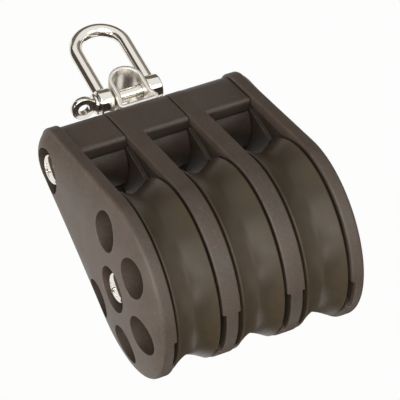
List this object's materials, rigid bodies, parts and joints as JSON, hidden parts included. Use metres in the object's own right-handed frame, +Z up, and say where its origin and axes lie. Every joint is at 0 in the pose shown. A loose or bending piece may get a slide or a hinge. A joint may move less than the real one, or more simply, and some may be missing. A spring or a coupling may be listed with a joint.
{
  "type": "triple block",
  "caption": "Rope block with plain grooved sheaves side by side in a moulded pear-shaped body, hung from a D shackle on a swivelling strap.",
  "frame": {"origin": "inner crown of the shackle's bow, where the block hangs", "axes": "+Z up along the line of pull, +X along the axle towards the shackle pin's threaded end, +Y to the back"},
  "size_m": [0.085, 0.0686, 0.151],
  "materials": {
    "body_plastic": "satin",
    "sheave_plastic": "satin",
    "bush_plastic": "satin",
    "stainless": "polished"
  },
  "bodies": {
    "shackle": {"shackle_bow": "stainless", "shackle_pin": "stainless"},
    "strap": {"head_strap": "stainless"},
    "block": {"cheek_left": "body_plastic", "divider_left": "body_plastic", "divider_right": "body_plastic", "cheek_right": "body_plastic", "axle_tube": "stainless", "axle_screw_left": "stainless", "axle_screw_right": "stainless", "head_tube": "stainless", "head_screw_left": "stainless", "head_screw_right": "stainless", "swivel_stem": "stainless", "swivel_collar": "stainless"},
    "sheave_left_body": {"sheave_left": "sheave_plastic", "sheave_bush_left": "bush_plastic"},
    "sheave_middle_body": {"sheave_middle": "sheave_plastic", "sheave_bush_middle": "bush_plastic"},
    "sheave_right_body": {"sheave_right": "sheave_plastic", "sheave_bush_right": "bush_plastic"}
  },
  "joints": [
    {"name": "strap_swing", "type": "hinge", "parent": "shackle", "child": "strap", "pos_m": [0, 0, -0.0315], "axis": [1, 0, 0], "range_deg": [-95, 95]},
    {"name": "block_swivel", "type": "hinge", "parent": "strap", "child": "block", "pos_m": [0, 0, -0.0417], "axis": [0, 0, 1], "continuous": true},
    {"name": "sheave_left_spin", "type": "hinge", "parent": "block", "child": "sheave_left_body", "pos_m": [-0.0247, 0, -0.1117], "axis": [1, 0, 0], "continuous": true},
    {"name": "sheave_middle_spin", "type": "hinge", "parent": "block", "child": "sheave_middle_body", "pos_m": [0, 0, -0.1117], "axis": [1, 0, 0], "continuous": true},
    {"name": "sheave_right_spin", "type": "hinge", "parent": "block", "child": "sheave_right_body", "pos_m": [0.0247, 0, -0.1117], "axis": [1, 0, 0], "continuous": true}
  ]
}
